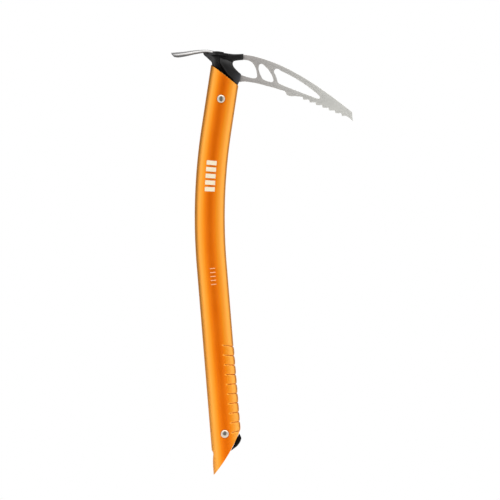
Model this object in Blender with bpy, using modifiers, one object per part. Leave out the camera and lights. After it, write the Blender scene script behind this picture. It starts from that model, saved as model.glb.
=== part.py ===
"""Light ice axe for ski touring: a bent aluminium tube, a steel pick and adze held by a moulded nylon head,
and a plug in the bevelled foot. Run it with: blender --background --python part.py

Frame: metres, +Z up. The origin is on the shaft's centreline, in the middle of the grip grooves. +X is the
way the pick points and +Y is the axe's left-hand side when the pick points away from the holder.

Outlines are drawn in the XZ plane in millimetres. The shaft has its own two directions there: "along" runs up
its centreline and "across" points forward, to the pick's side. A station is a distance along the centreline.
"""

import math

import bmesh
import bpy
from mathutils import Matrix, Vector

MM = 0.001
GAP = 0.3  # clearance between pieces that touch, mm
WELD = 0.01  # points closer than this are one point, mm

# Shaft: an oval tube with one bend
SHAFT_DEPTH = 32.0
SHAFT_WIDTH = 20.0
WALL = 1.5
LOWER_LEAN = math.radians(4.67)  # below the bend the shaft leans back as it rises
BEND_START = 132.0  # station where the bend begins
BEND_RADIUS = 614.0
BEND_ANGLE = math.radians(13.37)
OVAL_SIDES = 40

# The shaft's two ends. Both cuts are across the full depth of the oval
SEAT_STATION = 333.6  # where the head's sloped seat crosses the centreline
SEAT_SLOPE = math.radians(29.0)
FOOT_FRONT, FOOT_REAR = -45.0, -90.8  # stations where the foot's bevel meets the front and the rear
FOOT_BOW = 2.3  # how far the bevel bulges from a straight line
EYE_STATION, EYE_RADIUS, EYE_LENGTH = -68.2, 4.1, 18.5  # teardrop lanyard eye in the rear wall

# Grip grooves, fanned out round the front of the shaft
GROOVES = 10
GROOVE_PITCH = 9.95
GROOVE_MIDDLE = -1.3
GROOVE_RADIUS = 0.8
GROOVE_WRAP = math.radians(63.0)
GROOVE_TILT_TOP, GROOVE_TILT_BOTTOM = math.radians(12.0), math.radians(-9.0)
GROOVE_END_SHARE = 0.25  # how much of its radius a groove keeps at its ends

# Rivets and their spacer bushes
UPPER_RIVET_STATION = 308.0
LOWER_RIVET_STATION, LOWER_RIVET_ACROSS = -48.0, -0.7
RIVET_RADIUS, RIVET_HEAD_RADIUS, RIVET_HEAD_HEIGHT, RIVET_HEAD_RIM = 2.5, 4.3, 1.7, 0.4
RIVET_HOLE = RIVET_RADIUS + GAP
BUSH_RADIUS = 4.0
ROUND_SIDES = 32

# Steel
PICK_THICKNESS = 3.5
TANG_HALF_WIDTH, TANG_BELOW_RIVET = 9.0, 12.0
TEETH = 7
FIRST_TOOTH = (86.5, 306.1)
TOOTH_STEP = (6.82, -2.87)
TOOTH_DEPTH = (0.8, -2.9)
TENONS = (-7.4, -2.4)  # where the pick's two tenons come up through the adze's tail
TENON_WIDTH, TENON_HEIGHT = 2.4, 2.0
ADZE_THICKNESS = 2.0

# Nylon
ARM_WIDTH, ARM_ROUNDING = 9.0, 1.2
FIN_WIDTH, FIN_ROUNDING = 15.0, 0.8
HEAD_TOP_WIDTH = 13.0
NECK_STATIONS = (300.0, 372.0)  # the neck's oval narrows from the shaft's width to the head's between these
HEAD_TANG_BELOW_PICK, HEAD_TANG_ABOVE_SEAT = 6.0, 4.0
PLUG_TOP_STATION = -30.0
PLUG_BOTTOM_FRONT, PLUG_BOTTOM_REAR = -64.5, -61.0  # stations. The rear one clears the lanyard eye
PLUG_RECESS = 1.0  # how far the plug's flat end lies inside the foot's bevel
LINK_TOP_STATION, LINK_BOTTOM_STATION = -35.0, -58.0  # the web that joins the nose to the plug
LINK_REAR = 2.0  # how far in front of the centreline it starts
LINK_SLIMMING = (4.0, 3.0)  # how much less than the plug it measures front to rear and side to side
# The nose bulges out of the front of the bevel, between these shares of it. Both lists are at equal steps.
NOSE_SHARES = (-0.88, -0.06)
NOSE_HEIGHTS = [0.0, 4.2, 5.0, 4.85, 4.15, 2.75, 1.25, -0.2]
NOSE_HALF_WIDTHS = [2.5, 5.8, 6.9, 7.2, 7.0, 6.2, 4.8, 2.5]
NOSE_ROOT = 3.0  # how far inside the bevel the nose is widest

# Outlines. "corner" marks a sharp point; the others are smooth
CORNER = "corner"
PICK_TOP_EDGE = [
    (138.3, 292.8, CORNER), (114.9, 310.8), (82.9, 331.9), (51.7, 346.7), (22.9, 353.8),
    (8.0, 353.0, CORNER),
]
PICK_ROOT = [(10.0, 317.5), (14.5, 323.3), (20.4, 325.1), (29.5, 324.8), (47.7, 320.7), (61.9, 316.6)]
PICK_STEP = [(67.2, 314.6), (68.8, 311.6), (70.7, 310.4), (79.0, 309.8)]
PICK_BEAK = [(132.3, 288.5), (139.1, 283.4, CORNER), (138.4, 288.0)]
PICK_REAR = [(-10.2, 351.5), (-7.0, 345.0)]
REAR_WINDOW = [
    (22.8, 348.5), (29.8, 347.1), (34.4, 342.6), (37.2, 333.6), (37.0, 329.9), (35.0, 328.9), (30.5, 329.4),
    (24.5, 331.0), (18.2, 333.6), (12.4, 338.0), (9.9, 343.6), (12.0, 348.4), (17.0, 349.1),
]
MIDDLE_WINDOW = [
    (39.1, 340.4), (40.9, 343.9), (46.9, 340.6), (52.2, 333.6), (54.4, 328.2), (54.6, 326.1),
    (53.2, 324.9), (50.9, 325.1), (46.4, 326.5), (43.4, 328.2), (41.8, 330.8), (39.9, 335.4),
]
FRONT_WINDOW = [
    (55.4, 336.2), (57.4, 338.8), (63.9, 336.1), (80.1, 327.5), (98.8, 314.2), (102.3, 311.2),
    (103.9, 309.0), (103.4, 307.5), (101.6, 307.4), (95.5, 309.5), (79.4, 315.6), (61.9, 322.8),
    (59.7, 324.2), (58.8, 326.6), (57.2, 331.6),
]
NECK_OUTLINE = [
    (-13.6, 349.0, CORNER), (-12.5, 330.0, CORNER), (17.0, 310.0, CORNER), (17.0, 321.8),
    (19.7, 329.3), (20.4, 333.0, CORNER), (14.4, 338.7), (11.6, 343.8), (11.0, 347.0), (7.0, 353.4, CORNER),
    (-7.0, 354.6, CORNER),
]
ARM_OUTLINE = [
    (22.8, 348.0, CORNER), (22.8, 354.5, CORNER), (12.6, 354.4), (2.6, 355.5, CORNER), (2.1, 356.4, CORNER),
    (-3.5, 357.1, CORNER), (-5.0, 350.0), (-1.0, 346.0), (8.0, 344.6), (12.3, 345.6), (15.2, 347.6),
]
FIN_OUTLINE = [
    (-20.0, 357.0, CORNER), (-19.2, 354.0), (-13.4, 348.4), (-10.6, 343.4, CORNER), (-4.5, 345.0),
    (0.4, 348.5), (1.6, 353.0), (0.6, 356.0, CORNER), (-5.0, 356.7), (-10.4, 357.2, CORNER),
]
ADZE_CROWN = [
    (-53.7, 355.8), (-41.2, 356.8), (-29.8, 358.3), (-19.0, 359.0), (-11.2, 358.4), (-4.2, 356.1),
    (1.2, 354.9),
]
ADZE_HALF_WIDTHS = [23.0, 20.6, 14.6, 9.6, 8.2, 5.6, 3.6]  # at the crown's points
ADZE_DROPS = [2.9, 2.4, 1.9, 0.8, 0.4, 0.0, 0.0]  # how far the plate's edges hang below the crown
ADZE_CORNER_SETBACK = 2.9  # the cutting edge's corners lie this far behind its middle
ADZE_LENGTHWISE, ADZE_CROSSWISE = 24, 12


def axis_point(station):
    """Centreline point (x, z) and the shaft's lean there, positive where it leans back as it rises."""
    x, z = -math.sin(LOWER_LEAN) * min(station, BEND_START), math.cos(LOWER_LEAN) * min(station, BEND_START)
    bend = min(max(station - BEND_START, 0.0) / BEND_RADIUS, BEND_ANGLE)
    lean = LOWER_LEAN - bend
    x += BEND_RADIUS * (math.cos(LOWER_LEAN) - math.cos(lean))
    z += BEND_RADIUS * (math.sin(LOWER_LEAN) - math.sin(lean))
    beyond = max(station - BEND_START - BEND_RADIUS * BEND_ANGLE, 0.0)
    return x - math.sin(lean) * beyond, z + math.cos(lean) * beyond, lean


def shaft_point(station, across=0.0, side=0.0):
    """A point in the shaft's own directions, as (x, y, z) in mm."""
    x, z, lean = axis_point(station)
    return Vector((x + across * math.cos(lean), side, z + across * math.sin(lean)))


def shaft_outline_point(across, station):
    """Like shaft_point, for an outline drawn on the flat."""
    point = shaft_point(station, across)
    return point.x, point.z


def new_collection(name):
    collection = bpy.data.collections.new(name)
    bpy.context.scene.collection.children.link(collection)
    return collection


def add_object(name, data, material=None):
    """A part if it has a material, and otherwise a cutter or guide that isn't rendered."""
    made = bpy.data.objects.new(name, data)
    if material is None:
        CUTTERS.objects.link(made)
        made.hide_render = True
        made.display_type = "WIRE"
    else:
        PARTS.objects.link(made)
        data.materials.append(material)
    return made


def make_material(name, colour, roughness, metallic):
    material = bpy.data.materials.new(name)
    material.use_nodes = True
    shader = material.node_tree.nodes["Principled BSDF"]
    shader.inputs["Base Color"].default_value = (*colour, 1.0)
    shader.inputs["Roughness"].default_value = roughness
    shader.inputs["Metallic"].default_value = metallic
    return material


def mesh_object(name, shape, material=None):
    """An object from a bmesh whose coordinates are in mm. The bmesh is freed."""
    bmesh.ops.transform(shape, matrix=Matrix.Scale(MM, 4), verts=shape.verts)
    bmesh.ops.recalc_face_normals(shape, faces=shape.faces)
    mesh = bpy.data.meshes.new(name)
    shape.to_mesh(mesh)
    shape.free()
    return add_object(name, mesh, material)


def flat_outline(name, loops, width, round_edge=0.0, grow=0.0, resolution=8, material=None):
    """A plate of this width in Y, centred on the XZ plane. The first loop is its edge, the rest are holes."""
    curve = bpy.data.curves.new(name, "CURVE")
    curve.dimensions = "2D"
    curve.fill_mode = "BOTH"
    curve.extrude = (width / 2 - round_edge) * MM
    curve.bevel_depth = round_edge * MM
    curve.bevel_resolution = 1
    curve.offset = (grow - round_edge) * MM
    curve.resolution_u = resolution
    for loop in loops:
        spline = curve.splines.new("BEZIER")
        spline.bezier_points.add(len(loop) - 1)
        spline.use_cyclic_u = True
        for knot, point in zip(spline.bezier_points, loop):
            knot.co = (point[0] * MM, point[1] * MM, 0)
        for knot, point in zip(spline.bezier_points, loop):
            handle = "VECTOR" if CORNER in point else "AUTO"
            knot.handle_left_type = knot.handle_right_type = handle
    made = add_object(name, curve)
    made.rotation_euler.x = math.pi / 2
    return as_mesh(made, material)


def as_mesh(source, material=None):
    """Swaps an object for a mesh of its evaluated shape, in world coordinates, with its caps welded on."""
    name = source.name
    bpy.context.view_layer.update()
    graph = bpy.context.evaluated_depsgraph_get()
    mesh = bpy.data.meshes.new_from_object(source.evaluated_get(graph))
    mesh.transform(source.matrix_world)
    bpy.data.objects.remove(source)
    mesh.materials.clear()
    mesh.name = name
    shape = bmesh.new()
    shape.from_mesh(mesh)
    bmesh.ops.remove_doubles(shape, verts=shape.verts, dist=WELD * MM)
    bmesh.ops.recalc_face_normals(shape, faces=shape.faces)
    shape.to_mesh(mesh)
    shape.free()
    return add_object(name, mesh, material)


def boolean(target, other, operation="DIFFERENCE"):
    modifier = target.modifiers.new(f"{operation.lower()} {other.name}", "BOOLEAN")
    modifier.operation = operation
    modifier.object = other


def box(name, size, centre, lean=0.0):
    """A box cutter, turned about Y so that its top faces along a shaft that leans by this much."""
    shape = bmesh.new()
    place = Matrix.Translation(centre) @ Matrix.Rotation(-lean, 4, "Y") @ Matrix.Diagonal((*size, 1.0))
    bmesh.ops.create_cube(shape, size=1.0, matrix=place)
    return mesh_object(name, shape)


def cross_pin(name, radius, length, centre, material=None):
    """A round bar that lies along Y."""
    shape = bmesh.new()
    place = Matrix.Translation(centre) @ Matrix.Rotation(math.pi / 2, 4, "X")
    bmesh.ops.create_cone(
        shape,
        cap_ends=True,
        segments=ROUND_SIDES,
        radius1=radius,
        radius2=radius,
        depth=length,
        matrix=place,
    )
    return mesh_object(name, shape, material)


def oval_column(name, low, high, depth, low_width, high_width):
    """A solid oval bar along a straight stretch of the shaft, from one station to another."""
    shape = bmesh.new()
    _, _, lean = axis_point((low + high) / 2)
    bmesh.ops.create_cone(
        shape, cap_ends=True, segments=OVAL_SIDES, radius1=0.5, radius2=0.5, depth=high - low
    )
    for vertex in shape.verts:
        vertex.co.x *= depth
        vertex.co.y *= low_width if vertex.co.z < 0 else high_width
    place = Matrix.Translation(shaft_point((low + high) / 2)) @ Matrix.Rotation(-lean, 4, "Y")
    bmesh.ops.transform(shape, matrix=place, verts=shape.verts)
    return mesh_object(name, shape)


def turned(name, profile, centre, material):
    """A piece turned about an axis along Y, from a profile of (radius, distance along the axis) points."""
    mesh = bpy.data.meshes.new(name)
    points = [(radius * MM, 0, height * MM) for radius, height in profile]
    mesh.from_pydata(points, [(i, i + 1) for i in range(len(points) - 1)], [])
    made = add_object(name, mesh, material)
    screw = made.modifiers.new("turn", "SCREW")
    screw.steps = screw.render_steps = ROUND_SIDES
    screw.use_merge_vertices = True
    screw.merge_threshold = WELD * MM
    made.rotation_euler.x = math.pi / 2
    made.location = centre * MM
    return made


def bevel_point(share, outward=0.0):
    """A point (across, station) on the foot's bowed bevel, from -1 at its front end to 1 at its rear end, or
    this far outside it."""
    front, rear = Vector((SHAFT_DEPTH / 2, FOOT_FRONT)), Vector((-SHAFT_DEPTH / 2, FOOT_REAR))
    run = (rear - front) / 2
    out = Vector((-run.y, run.x)).normalized()
    return (front + rear) / 2 + run * share + out * (FOOT_BOW * (1 - share**2) + outward)


def foot_bevel(name, grow=0.0):
    """Everything below and in front of the foot's bowed bevel. grow moves the bevel up into the shaft."""
    reach, overshoot = 60.0, 2.2
    arc = [bevel_point(share, -grow) for share in (-overshoot, -1.0, -0.5, 0.0, 0.5, 1.0, overshoot)]
    far = [bevel_point(share, reach) for share in (overshoot, -overshoot)]
    loop = [shaft_outline_point(*point) for point in arc + far]
    for i in (0, len(arc) - 1, len(arc), len(arc) + 1):
        loop[i] += (CORNER,)
    return flat_outline(name, [loop], 2 * SHAFT_DEPTH)


def sweep_guides():
    """The shaft's centreline and the closed oval that is swept along it."""
    oval = bpy.data.curves.new("shaft_oval", "CURVE")
    oval.dimensions = "2D"
    spline = oval.splines.new("POLY")
    spline.points.add(OVAL_SIDES - 1)
    spline.use_cyclic_u = True
    for i, knot in enumerate(spline.points):
        turn = 2 * math.pi * i / OVAL_SIDES
        knot.co = (SHAFT_WIDTH / 2 * math.cos(turn) * MM, SHAFT_DEPTH / 2 * math.sin(turn) * MM, 0, 1)
    line = bpy.data.curves.new("shaft_line", "CURVE")
    line.dimensions = "3D"
    bend_end = BEND_START + BEND_RADIUS * BEND_ANGLE
    bend_steps = 14
    overshoot = 8.0
    stations = [FOOT_REAR - overshoot]
    stations += [BEND_START + (bend_end - BEND_START) * i / bend_steps for i in range(bend_steps + 1)]
    stations += [SEAT_STATION + SHAFT_DEPTH]
    spline = line.splines.new("POLY")
    spline.points.add(len(stations) - 1)
    for knot, station in zip(spline.points, stations):
        knot.co = (*(shaft_point(station) * MM), 1)
    return add_object("shaft_oval", oval), line


def groove_cutter(number):
    """A thin tapering rod round the front of the oval."""
    share = number / (GROOVES - 1)
    station = GROOVE_MIDDLE + GROOVE_PITCH * ((GROOVES - 1) / 2 - number)
    tilt = GROOVE_TILT_TOP + (GROOVE_TILT_BOTTOM - GROOVE_TILT_TOP) * share
    curve = bpy.data.curves.new(f"groove_{number + 1}", "CURVE")
    curve.dimensions = "3D"
    curve.bevel_depth = GROOVE_RADIUS * MM
    curve.bevel_resolution = 1
    curve.use_fill_caps = True
    spline = curve.splines.new("POLY")
    steps = 14
    spline.points.add(steps)
    for i, knot in enumerate(spline.points):
        turn = GROOVE_WRAP * (2 * i / steps - 1)
        across = SHAFT_DEPTH / 2 * math.cos(turn)
        rise = (SHAFT_DEPTH / 2 - across) * math.tan(tilt)
        knot.co = (*(shaft_point(station + rise, across, SHAFT_WIDTH / 2 * math.sin(turn)) * MM), 1)
        knot.radius = GROOVE_END_SHARE + (1 - GROOVE_END_SHARE) * math.cos(turn / GROOVE_WRAP * math.pi / 2)
    return as_mesh(add_object(curve.name, curve))


def seat_cutter(name, gap, above):
    """A big box whose face is the head's sloped seat. It holds what is above the seat, or what is below."""
    size = 120.0
    _, _, lean = axis_point(SEAT_STATION)
    slope = lean - SEAT_SLOPE
    up = Vector((-math.sin(slope), 0, math.cos(slope)))
    centre = shaft_point(SEAT_STATION) + up * (gap + (size / 2 if above else -size / 2))
    return box(name, (size, size, size), centre, slope)


def make_shaft(material):
    oval, line = sweep_guides()
    line.bevel_mode = "OBJECT"
    line.bevel_object = oval
    shaft = as_mesh(add_object("shaft_tube", line), material)
    wall = shaft.modifiers.new("wall", "SOLIDIFY")
    wall.thickness = WALL * MM
    wall.offset = -1.0
    wall.use_even_offset = True
    boolean(shaft, seat_cutter("seat_cut", 0.0, above=True))
    boolean(shaft, foot_bevel("foot_cut"))
    for number in range(GROOVES):
        boolean(shaft, groove_cutter(number))
    for name, centre in (("upper_rivet_hole", UPPER_RIVET), ("lower_rivet_hole", LOWER_RIVET)):
        boolean(shaft, cross_pin(name, RIVET_HOLE, 2 * SHAFT_WIDTH, centre))
    boolean(shaft, eye_cutter())


def eye_cutter():
    """A teardrop prism, round end up, that passes through the rear wall only."""
    steps = 16
    # The straight sides leave the circle this far below its middle.
    half_point = math.asin(EYE_RADIUS / (EYE_LENGTH - EYE_RADIUS))
    start, end = -half_point, math.pi + half_point
    shape = bmesh.new()
    ring = []
    for i in range(steps + 1):
        turn = start + (end - start) * i / steps
        ring.append((EYE_RADIUS * math.cos(turn), EYE_STATION + EYE_RADIUS * math.sin(turn)))
    ring.append((0.0, EYE_STATION + EYE_RADIUS - EYE_LENGTH))
    verts = [shape.verts.new(shaft_point(station, -SHAFT_DEPTH, side)) for side, station in ring]
    face = shape.faces.new(verts)
    sweep = bmesh.ops.extrude_face_region(shape, geom=[face])
    forward = shaft_point(EYE_STATION, SHAFT_DEPTH * 0.75) - shaft_point(EYE_STATION)
    swept = [made for made in sweep["geom"] if isinstance(made, bmesh.types.BMVert)]
    bmesh.ops.translate(shape, vec=forward, verts=swept)
    return mesh_object("eye_cut", shape)


def tail_height(x):
    """Height of the adze's crown line above a point of its tail, between its last three points."""
    (x1, z1), (x2, z2), (x3, z3) = ADZE_CROWN[-3:]
    return z1 + (z2 - z1) * (x - x1) / (x2 - x1) if x < x2 else z2 + (z3 - z2) * (x - x2) / (x3 - x2)


def pick_outline():
    under_tail = ADZE_THICKNESS + GAP
    top = list(PICK_TOP_EDGE) + [(2.4, tail_height(1.2) - under_tail, CORNER)]
    for middle in sorted(TENONS, reverse=True):
        front, back = middle + TENON_WIDTH / 2, middle - TENON_WIDTH / 2
        for x, lift in ((front, 0), (front, TENON_HEIGHT), (back, TENON_HEIGHT), (back, 0)):
            top.append((x, tail_height(x) - under_tail + lift, CORNER))
    rear = [(-11.4, tail_height(-11.2) - under_tail, CORNER)] + PICK_REAR
    rear += [shaft_outline_point(-TANG_HALF_WIDTH, SEAT_STATION)]
    low = UPPER_RIVET_STATION - TANG_BELOW_RIVET
    tang = [shaft_outline_point(across, low) + (CORNER,) for across in (-TANG_HALF_WIDTH, TANG_HALF_WIDTH)]
    teeth = []
    for number in range(TEETH):
        tip = [FIRST_TOOTH[k] + number * TOOTH_STEP[k] for k in (0, 1)]
        teeth.append((tip[0] - TOOTH_DEPTH[0], tip[1] - TOOTH_DEPTH[1], CORNER))
        teeth.append((*tip, CORNER))
    return top + rear + tang + PICK_ROOT + PICK_STEP + teeth + PICK_BEAK


def pick_plate(name, grow=0.0, material=None):
    """The pick without its rivet hole. Grown, and with no material, it cuts its seat in its neighbours."""
    loops = [pick_outline(), REAR_WINDOW, MIDDLE_WINDOW, FRONT_WINDOW]
    return flat_outline(name, loops, PICK_THICKNESS + 2 * grow, grow=grow, material=material)


def make_pick(material):
    pick = pick_plate("pick_blade", material=material)
    boolean(pick, cross_pin("tang_hole", RIVET_HOLE, 2 * SHAFT_WIDTH, UPPER_RIVET))


def smooth_value(share, values):
    """A value at a share from 0 to 1 along a list, by a Catmull-Rom curve through its entries."""
    place = share * (len(values) - 1)
    i = min(int(place), len(values) - 2)
    t = place - i
    before, a, b, after = (values[min(max(k, 0), len(values) - 1)] for k in (i - 1, i, i + 1, i + 2))
    bend = (2 * a + (b - before) * t + (2 * before - 5 * a + 4 * b - after) * t**2)
    return (bend + (3 * a - before - 3 * b + after) * t**3) / 2


def adze_plate(name, grow=0.0, material=None):
    """An arched blade that narrows to a flat tail, without the slots for the pick's tenons."""
    shape = bmesh.new()
    bmesh.ops.create_grid(shape, x_segments=ADZE_LENGTHWISE, y_segments=ADZE_CROSSWISE, size=0.5)
    for vertex in shape.verts:
        share, side = vertex.co.x + 0.5, 2 * vertex.co.y
        half_width = smooth_value(share, ADZE_HALF_WIDTHS) + grow
        setback = ADZE_CORNER_SETBACK * side**2 * max(0.0, 1 - 3 * share)
        x = smooth_value(share, [point[0] for point in ADZE_CROWN]) + setback + 2 * grow * (share - 0.5)
        z = smooth_value(share, [point[1] for point in ADZE_CROWN]) + grow
        vertex.co = (x, half_width * side, z - smooth_value(share, ADZE_DROPS) * side**2)
    adze = mesh_object(name, shape, material)
    plate = adze.modifiers.new("plate", "SOLIDIFY")
    plate.thickness = (ADZE_THICKNESS + 2 * grow) * MM
    plate.offset = -1.0
    return adze


def make_adze(material):
    adze = adze_plate("adze_blade", material=material)
    size = (TENON_WIDTH + 2 * GAP, PICK_THICKNESS + 2 * GAP, 6 * ADZE_THICKNESS)
    for number, x in enumerate(TENONS):
        boolean(adze, box(f"tenon_slot_{number + 1}", size, Vector((x, 0, tail_height(x)))))


def make_head_block(material):
    """The moulded head: an oval neck that grows out of the shaft's line, an arm along the pick, a fin under
    the adze and a tang inside the tube."""
    block = oval_column("head_block", *NECK_STATIONS, SHAFT_DEPTH, SHAFT_WIDTH, HEAD_TOP_WIDTH)
    boolean(block, flat_outline("head_neck", [NECK_OUTLINE], 2 * SHAFT_WIDTH), "INTERSECT")
    arm = flat_outline("head_arm", [ARM_OUTLINE], ARM_WIDTH, round_edge=ARM_ROUNDING, resolution=5)
    fin = flat_outline("head_fin", [FIN_OUTLINE], FIN_WIDTH, round_edge=FIN_ROUNDING, resolution=4)
    boolean(block, arm, "UNION")
    boolean(block, fin, "UNION")
    boolean(block, seat_cutter("seat_clearance", GAP, above=False))
    tang_depth, tang_width = SHAFT_DEPTH - 2 * WALL - 3 * GAP, SHAFT_WIDTH - 2 * WALL - 3 * GAP
    low = UPPER_RIVET_STATION - TANG_BELOW_RIVET - HEAD_TANG_BELOW_PICK
    high = SEAT_STATION + HEAD_TANG_ABOVE_SEAT
    boolean(block, oval_column("head_tang", low, high, tang_depth, tang_width, tang_width), "UNION")
    boolean(block, adze_plate("adze_seat", GAP))
    boolean(block, pick_plate("pick_seat", GAP))
    boolean(block, cross_pin("upper_bush_hole", BUSH_RADIUS + GAP, 2 * SHAFT_WIDTH, UPPER_RIVET))
    as_mesh(block, material)


def plug_nose():
    """The lip that bulges out past the front of the bevel: a row of ovals along the bevel, skinned over."""
    steps, sides = 20, 24
    start, end = NOSE_SHARES
    shape = bmesh.new()
    rings = []
    for i in range(steps + 1):
        height = smooth_value(i / steps, NOSE_HEIGHTS) + NOSE_ROOT
        half_width = smooth_value(i / steps, NOSE_HALF_WIDTHS)
        ring = []
        for k in range(sides):
            turn = 2 * math.pi * k / sides
            point = bevel_point(start + (end - start) * i / steps, height * math.cos(turn) - NOSE_ROOT)
            ring.append(shape.verts.new(shaft_point(point.y, point.x, half_width * math.sin(turn))))
        rings.append(ring)
    for ring, after in zip(rings, rings[1:]):
        for k in range(sides):
            shape.faces.new((ring[k - 1], ring[k], after[k], after[k - 1]))
    shape.faces.new(rings[0])
    shape.faces.new(rings[-1])
    nose = mesh_object("plug_nose", shape)
    boolean(nose, foot_bevel("nose_bevel", grow=-GAP), "INTERSECT")
    return nose


def make_end_plug(material):
    depth, width = SHAFT_DEPTH - 2 * WALL - 3 * GAP, SHAFT_WIDTH - 2 * WALL - 3 * GAP
    plug = oval_column("end_plug", 2 * FOOT_REAR, 0.0, depth, width, width)
    front, rear = (SHAFT_DEPTH, PLUG_BOTTOM_FRONT), (-SHAFT_DEPTH, PLUG_BOTTOM_REAR)
    keep = [(-SHAFT_DEPTH, PLUG_TOP_STATION), (SHAFT_DEPTH, PLUG_TOP_STATION), front, rear]
    keep = [shaft_outline_point(*point) + (CORNER,) for point in keep]
    boolean(plug, flat_outline("plug_outline", [keep], 2 * SHAFT_WIDTH), "INTERSECT")
    boolean(plug, foot_bevel("plug_bevel", grow=PLUG_RECESS))
    link_depth, link_width = depth - LINK_SLIMMING[0], width - LINK_SLIMMING[1]
    low, high = LINK_BOTTOM_STATION, LINK_TOP_STATION
    link = oval_column("plug_link", low, high, link_depth, link_width, link_width)
    behind = shaft_point((low + high) / 2, LINK_REAR - SHAFT_DEPTH)
    boolean(link, box("link_rear", (2 * SHAFT_DEPTH,) * 3, behind, LOWER_LEAN))
    boolean(plug, plug_nose(), "UNION")
    boolean(plug, link, "UNION")
    boolean(plug, cross_pin("lower_bush_hole", BUSH_RADIUS + GAP, 2 * SHAFT_WIDTH, LOWER_RIVET))
    as_mesh(plug, material)


def make_rivet(name, centre, material):
    """A solid rivet with a domed head at each end."""
    dome_steps = 6
    seat = SHAFT_WIDTH / 2 + GAP
    rise = RIVET_HEAD_HEIGHT - RIVET_HEAD_RIM
    dome = []
    for i in range(dome_steps + 1):
        turn = math.pi / 2 * (1 - i / dome_steps)
        dome.append((RIVET_HEAD_RADIUS * math.cos(turn), seat + RIVET_HEAD_RIM + rise * math.sin(turn)))
    half = dome + [(RIVET_HEAD_RADIUS, seat), (RIVET_RADIUS, seat)]
    mirrored = [(radius, -height) for radius, height in reversed(half)]
    return turned(name, half + mirrored, centre, material)


def make_bush(name, centre, start, end, material):
    """A spacer sleeve round a rivet, from one distance along Y to another."""
    ring = [(BUSH_RADIUS, end), (BUSH_RADIUS, start), (RIVET_HOLE, start), (RIVET_HOLE, end)]
    return turned(name, ring + ring[:1], centre, material)


def build():
    aluminium = make_material("orange_anodised_aluminium", (0.86, 0.26, 0.02), 0.35, 0.9)
    steel = make_material("blasted_steel", (0.55, 0.54, 0.52), 0.45, 1.0)
    polished = make_material("polished_steel", (0.75, 0.75, 0.75), 0.2, 1.0)
    nylon = make_material("black_nylon", (0.02, 0.02, 0.022), 0.45, 0.0)

    make_shaft(aluminium)
    make_pick(steel)
    make_adze(polished)
    make_head_block(nylon)
    make_end_plug(nylon)
    make_rivet("upper_rivet", UPPER_RIVET, polished)
    make_rivet("lower_rivet", LOWER_RIVET, polished)
    # A bush's rim meets the tube's curved wall before its middle does.
    rim_share = (BUSH_RADIUS - LOWER_RIVET_ACROSS) / (SHAFT_DEPTH / 2 - WALL)
    outer = (SHAFT_WIDTH / 2 - WALL) * math.sqrt(1 - rim_share**2) - GAP
    inner = PICK_THICKNESS / 2 + GAP
    make_bush("upper_bush_right", UPPER_RIVET, inner, outer, steel)
    make_bush("upper_bush_left", UPPER_RIVET, -outer, -inner, steel)
    make_bush("lower_bush", LOWER_RIVET, -outer, outer, steel)


for startup_object in list(bpy.data.objects):
    bpy.data.objects.remove(startup_object)
PARTS = new_collection("ice_axe")
CUTTERS = new_collection("cutters")
UPPER_RIVET = shaft_point(UPPER_RIVET_STATION)
LOWER_RIVET = shaft_point(LOWER_RIVET_STATION, LOWER_RIVET_ACROSS)
build()
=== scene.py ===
"""The looks of a light ice axe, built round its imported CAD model, which fixes every size and place.

Shapes are worked out in millimetres and turned into metres when a mesh is made. As in the CAD, a station is a
distance up the shaft's centreline from the middle of the grip, and across is the distance in front of it.
"""

import math

import bmesh
import bpy
import numpy as np
from mathutils import Matrix, Vector
from mathutils.geometry import delaunay_2d_cdt


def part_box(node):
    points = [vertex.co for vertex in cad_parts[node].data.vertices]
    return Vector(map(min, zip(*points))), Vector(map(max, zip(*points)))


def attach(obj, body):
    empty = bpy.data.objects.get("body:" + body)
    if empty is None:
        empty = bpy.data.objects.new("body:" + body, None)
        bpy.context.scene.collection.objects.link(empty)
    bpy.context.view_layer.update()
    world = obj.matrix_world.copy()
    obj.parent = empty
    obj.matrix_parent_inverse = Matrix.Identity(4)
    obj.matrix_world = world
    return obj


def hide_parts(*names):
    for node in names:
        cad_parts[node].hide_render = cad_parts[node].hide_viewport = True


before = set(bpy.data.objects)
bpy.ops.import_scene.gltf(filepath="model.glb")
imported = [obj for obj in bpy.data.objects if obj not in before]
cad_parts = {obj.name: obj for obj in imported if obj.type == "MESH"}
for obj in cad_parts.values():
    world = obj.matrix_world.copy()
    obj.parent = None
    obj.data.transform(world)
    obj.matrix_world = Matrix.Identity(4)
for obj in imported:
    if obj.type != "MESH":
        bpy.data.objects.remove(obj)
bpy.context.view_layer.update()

MM = 0.001
NODE_WELD, CURVE_WELD = 0.002, 0.005  # how near points have to be to become one

# The shaft's path and section
SHAFT_DEPTH, SHAFT_WIDTH, WALL = 32.0, 20.0, 1.5
LOWER_LEAN = math.radians(4.67)
BEND_START, BEND_RADIUS, BEND_ANGLE = 132.0, 614.0, math.radians(13.37)
SEAT_STATION, SEAT_SLOPE = 333.6, math.radians(29.0)
FOOT_FRONT, FOOT_REAR, FOOT_BOW = -45.0, -90.8, 2.3
EYE_STATION, EYE_RADIUS, EYE_LENGTH = -68.2, 4.1, 18.5
CUT_EDGE = 0.35  # chamfer on the shaft's cut ends
BORE_STATIONS = (250.0, 190.0, 150.0, 130.0, 0.0)  # of the points that carry the bore round the bend

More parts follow.
